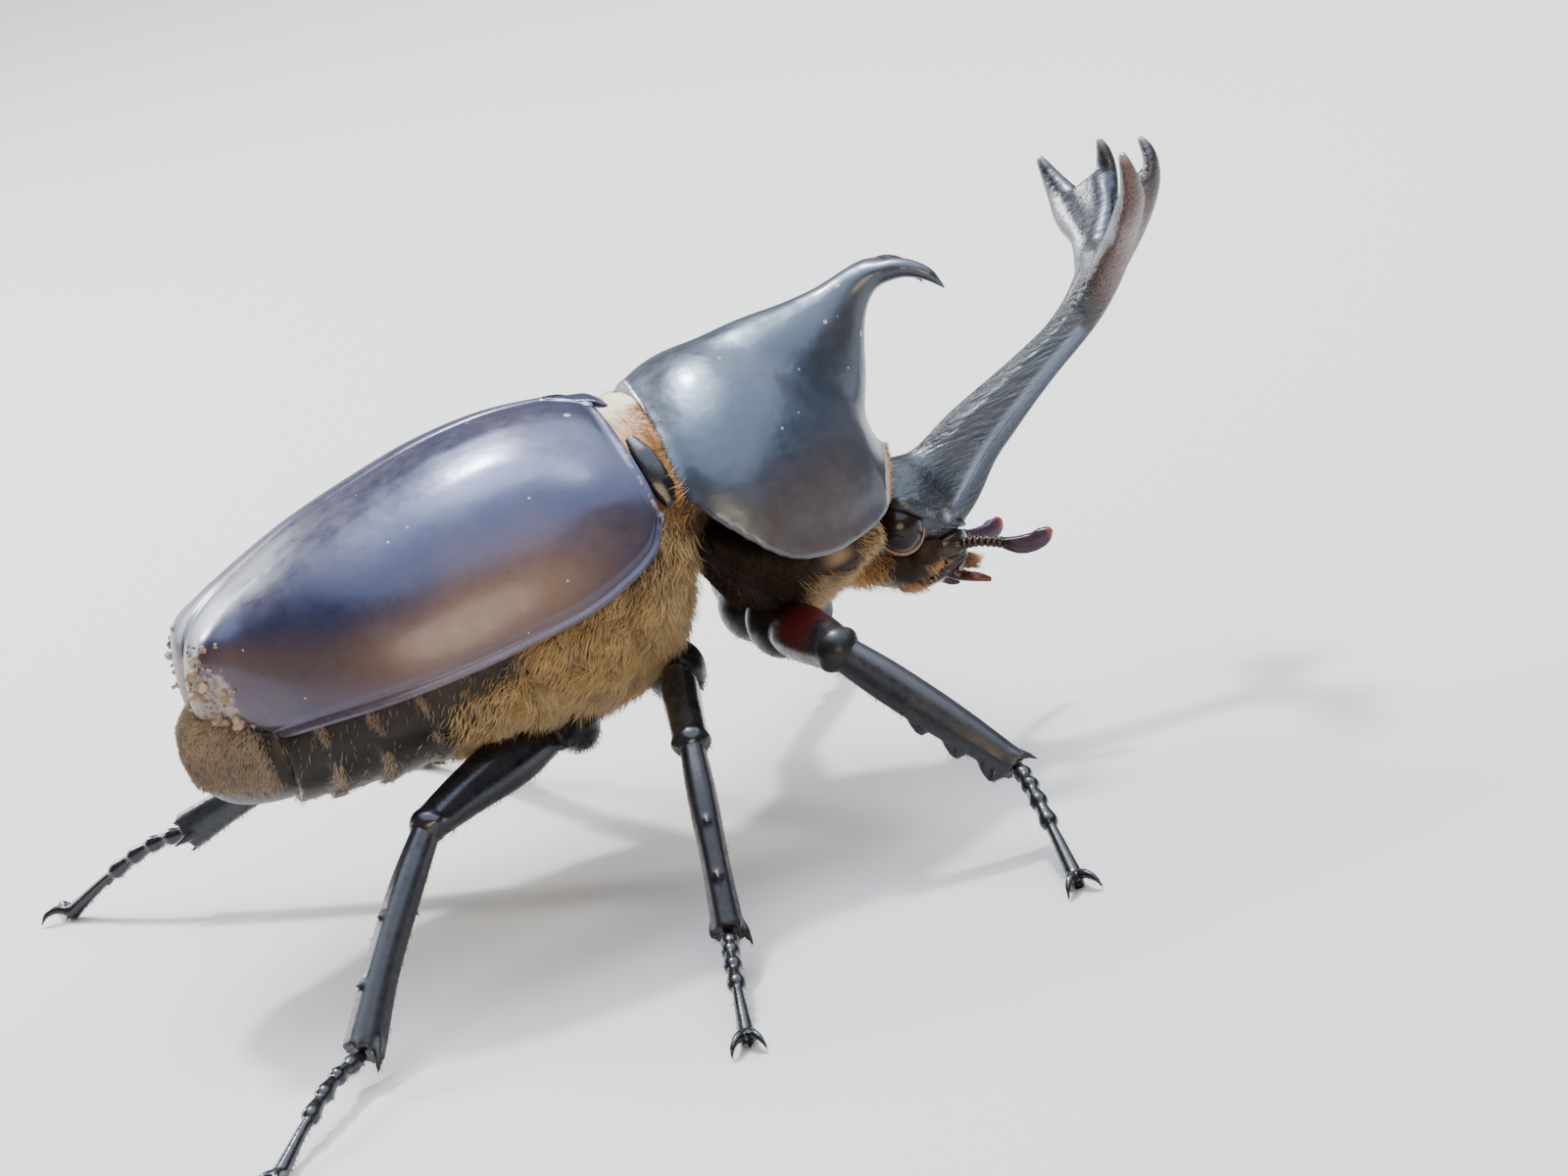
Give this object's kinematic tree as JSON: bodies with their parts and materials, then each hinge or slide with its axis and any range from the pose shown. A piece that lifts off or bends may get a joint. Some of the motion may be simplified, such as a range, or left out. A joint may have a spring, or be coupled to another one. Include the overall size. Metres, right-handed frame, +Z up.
{
  "type": "japanese rhinoceros beetle",
  "caption": "Life-size still model of a male horned beetle standing on its legs, with a long forked head horn, a short forked thorax horn, domed wing cases and clawed feet.",
  "frame": {"origin": "on the floor, below the middle of the whole outline", "axes": "+X towards the head, +Y to the animal's left, +Z up"},
  "size_m": [0.0791, 0.0796, 0.0343],
  "materials": {
    "glossy_shell": "polished dark brown-black shell",
    "satin_shell": "satin blue-black shell",
    "horn": "semi-gloss finely wrinkled shell",
    "leg_shell": "polished black shell",
    "brown_parts": "polished red-brown",
    "eye": "glossy black",
    "hairy_body": "short golden-brown hair over dark plates",
    "pale_hair": "short cream hair over a dark plate"
  },
  "bodies": {
    "root": {"head": "horn", "head_horn": "horn", "eye_l": "eye", "eye_r": "eye", "antenna_l": "brown_parts", "antenna_r": "brown_parts", "mouthparts": "brown_parts", "pronotum": "satin_shell", "pronotum_horn": "horn", "prosternum": "hairy_body", "scutellum": "glossy_shell", "wing_case_l": "glossy_shell", "wing_case_r": "glossy_shell", "thorax": "hairy_body", "abdomen": "hairy_body", "pygidium": "pale_hair", "front_coxa_l": "leg_shell", "front_femur_l": "leg_shell", "front_tibia_l": "leg_shell", "front_tarsus_l": "leg_shell", "front_coxa_r": "leg_shell", "front_femur_r": "leg_shell", "front_tibia_r": "leg_shell", "front_tarsus_r": "leg_shell", "mid_coxa_l": "leg_shell", "mid_femur_l": "leg_shell", "mid_tibia_l": "leg_shell", "mid_tarsus_l": "leg_shell", "mid_coxa_r": "leg_shell", "mid_femur_r": "leg_shell", "mid_tibia_r": "leg_shell", "mid_tarsus_r": "leg_shell", "hind_coxa_l": "leg_shell", "hind_femur_l": "leg_shell", "hind_tibia_l": "leg_shell", "hind_tarsus_l": "leg_shell", "hind_coxa_r": "leg_shell", "hind_femur_r": "leg_shell", "hind_tibia_r": "leg_shell", "hind_tarsus_r": "leg_shell"}
  },
  "joints": []
}
